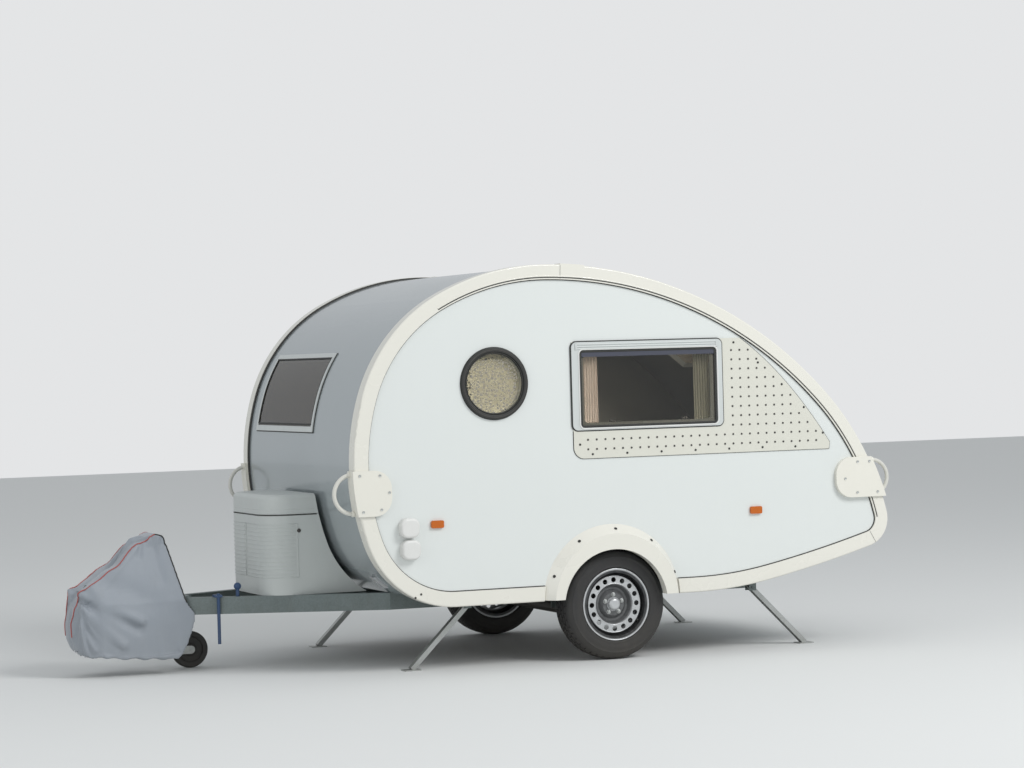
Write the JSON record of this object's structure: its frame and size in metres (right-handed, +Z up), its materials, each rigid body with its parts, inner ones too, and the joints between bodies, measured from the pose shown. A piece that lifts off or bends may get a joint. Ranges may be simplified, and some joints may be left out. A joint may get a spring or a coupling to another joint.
{
  "type": "small teardrop travel caravan",
  "caption": "Small teardrop touring caravan on one axle with a drawbar, gas locker, covered coupling, jockey wheel and corner steadies.",
  "frame": {"origin": "bottom centre of the bounding box, on the ground", "axes": "+X forwards to the coupling, +Y to the left, +Z up"},
  "size_m": [4.515, 2.04, 2.1533],
  "materials": {
    "side_wall_left": "glossy white paint",
    "side_wall_right": "glossy white paint",
    "front_shell": "silver-grey paint",
    "roof_rear_shell": "silver-grey paint",
    "floor_panel": "dark sealed plywood",
    "wheel_boxes": "black moulding",
    "edge_trims": "ivory moulding",
    "wheel_arches": "ivory moulding",
    "side_window_frames": "satin grey frame",
    "side_window_panes": "smoked pane",
    "dimple_panels": "cream dimpled sheet",
    "porthole_rim": "black rubber",
    "end_window_frames": "light grey frame",
    "end_window_panes": "dark smoked pane",
    "corner_plates": "ivory moulding",
    "grab_handles": "pale coated bar",
    "flue_caps": "white moulding",
    "side_markers": "amber lens",
    "front_reflectors": "clear reflector",
    "rear_lamps": "red lens",
    "number_plate_holder": "black holder",
    "roof_hatch_frame": "off-white frame",
    "roof_hatch_lid": "milky lid",
    "entrance_door": "glossy white paint",
    "door_hinges": "plain",
    "door_porthole_rim": "black rubber",
    "door_porthole_glass": "smoked pane",
    "door_latch": "white moulding",
    "gas_locker_box": "light grey moulding",
    "gas_locker_lid": "light grey moulding",
    "chassis_frame": "weathered galvanised steel",
    "overrun_unit": "galvanised steel",
    "coupling_head": "galvanised steel",
    "coupling_cover": "coated grey cloth",
    "axle_assembly": "galvanised steel",
    "tyre_left": "black rubber",
    "tyre_right": "black rubber",
    "wheel_left": "silver paint",
    "wheel_right": "silver paint",
    "jockey_outer_tube": "zinc plated",
    "jockey_inner_tube": "zinc plated",
    "jockey_fork": "zinc plated",
    "jockey_wheel": "solid rubber",
    "steady_front_left": "zinc plated",
    "steady_front_right": "zinc plated",
    "steady_rear_left": "zinc plated",
    "steady_rear_right": "zinc plated",
    "drawbar_fittings": "dark blue",
    "cabin_furniture": "light board",
    "mattress": "woven cover",
    "curtains": "pleated cloth"
  },
  "bodies": {
    "caravan_body": {"side_wall_left": "side_wall_left", "side_wall_right": "side_wall_right", "front_shell": "front_shell", "roof_rear_shell": "roof_rear_shell", "floor_panel": "floor_panel", "wheel_boxes": "wheel_boxes", "edge_trims": "edge_trims", "wheel_arches": "wheel_arches", "side_window_frames": "side_window_frames", "side_window_panes": "side_window_panes", "dimple_panels": "dimple_panels", "porthole_rim": "porthole_rim", "end_window_frames": "end_window_frames", "end_window_panes": "end_window_panes", "corner_plates": "corner_plates", "grab_handles": "grab_handles", "flue_caps": "flue_caps", "side_markers": "side_markers", "front_reflectors": "front_reflectors", "rear_lamps": "rear_lamps", "number_plate_holder": "number_plate_holder", "roof_hatch_frame": "roof_hatch_frame", "door_hinges": "door_hinges", "gas_locker_box": "gas_locker_box", "chassis_frame": "chassis_frame", "overrun_unit": "overrun_unit", "coupling_head": "coupling_head", "coupling_cover": "coupling_cover", "axle_assembly": "axle_assembly", "jockey_outer_tube": "jockey_outer_tube", "drawbar_fittings": "drawbar_fittings", "cabin_furniture": "cabin_furniture", "mattress": "mattress", "curtains": "curtains"},
    "left_wheel": {"wheel_left": "wheel_left", "tyre_left": "tyre_left"},
    "right_wheel": {"wheel_right": "wheel_right", "tyre_right": "tyre_right"},
    "door": {"entrance_door": "entrance_door", "door_porthole_rim": "door_porthole_rim", "door_porthole_glass": "door_porthole_glass", "door_latch": "door_latch"},
    "locker_lid": {"gas_locker_lid": "gas_locker_lid"},
    "roof_hatch": {"roof_hatch_lid": "roof_hatch_lid"},
    "jockey_slide": {"jockey_inner_tube": "jockey_inner_tube"},
    "jockey_caster": {"jockey_fork": "jockey_fork"},
    "jockey_roller": {"jockey_wheel": "jockey_wheel"},
    "front_left_steady": {"steady_front_left": "steady_front_left"},
    "front_right_steady": {"steady_front_right": "steady_front_right"},
    "rear_left_steady": {"steady_rear_left": "steady_rear_left"},
    "rear_right_steady": {"steady_rear_right": "steady_rear_right"}
  },
  "joints": [
    {"name": "left_wheel_spin", "type": "hinge", "parent": "caravan_body", "child": "left_wheel", "pos_m": [-0.5485, 0.8625, 0.298], "axis": [0, 1, 0], "continuous": true},
    {"name": "right_wheel_spin", "type": "hinge", "parent": "caravan_body", "child": "right_wheel", "pos_m": [-0.5485, -0.8625, 0.298], "axis": [0, 1, 0], "continuous": true},
    {"name": "door_hinge", "type": "hinge", "parent": "caravan_body", "child": "door", "pos_m": [0.436, -0.976, 1.1], "axis": [0, 0, 1], "range_deg": [0, 115]},
    {"name": "locker_lid_hinge", "type": "hinge", "parent": "caravan_body", "child": "locker_lid", "pos_m": [0.94061, 0, 0.934], "axis": [0, -1, 0], "range_deg": [0, 75]},
    {"name": "roof_hatch_hinge", "type": "hinge", "parent": "caravan_body", "child": "roof_hatch", "pos_m": [-0.41381, 0, 2.12979], "axis": [0, 1, 0], "range_deg": [0, 60]},
    {"name": "jockey_raise", "type": "slide", "parent": "caravan_body", "child": "jockey_slide", "axis": [0, 0, 1], "range_m": [-0.1, 0.1]},
    {"name": "jockey_swivel", "type": "hinge", "parent": "jockey_slide", "child": "jockey_caster", "pos_m": [1.6865, -0.125, 0.1], "axis": [0, 0, 1], "continuous": true},
    {"name": "jockey_wheel_spin", "type": "hinge", "parent": "jockey_caster", "child": "jockey_roller", "pos_m": [1.5365, -0.125, 0.1], "axis": [0, 1, 0], "continuous": true},
    {"name": "front_left_steady_fold", "type": "hinge", "parent": "caravan_body", "child": "front_left_steady", "pos_m": [0.2565, 0.78, 0.33], "axis": [0, -1, 0], "range_deg": [-15, 45]},
    {"name": "front_right_steady_fold", "type": "hinge", "parent": "caravan_body", "child": "front_right_steady", "pos_m": [0.2565, -0.78, 0.33], "axis": [0, -1, 0], "range_deg": [-15, 45]},
    {"name": "rear_left_steady_fold", "type": "hinge", "parent": "caravan_body", "child": "rear_left_steady", "pos_m": [-1.4485, 0.78, 0.33], "axis": [0, 1, 0], "range_deg": [-15, 45]},
    {"name": "rear_right_steady_fold", "type": "hinge", "parent": "caravan_body", "child": "rear_right_steady", "pos_m": [-1.4485, -0.78, 0.33], "axis": [0, 1, 0], "range_deg": [-15, 45]}
  ]
}
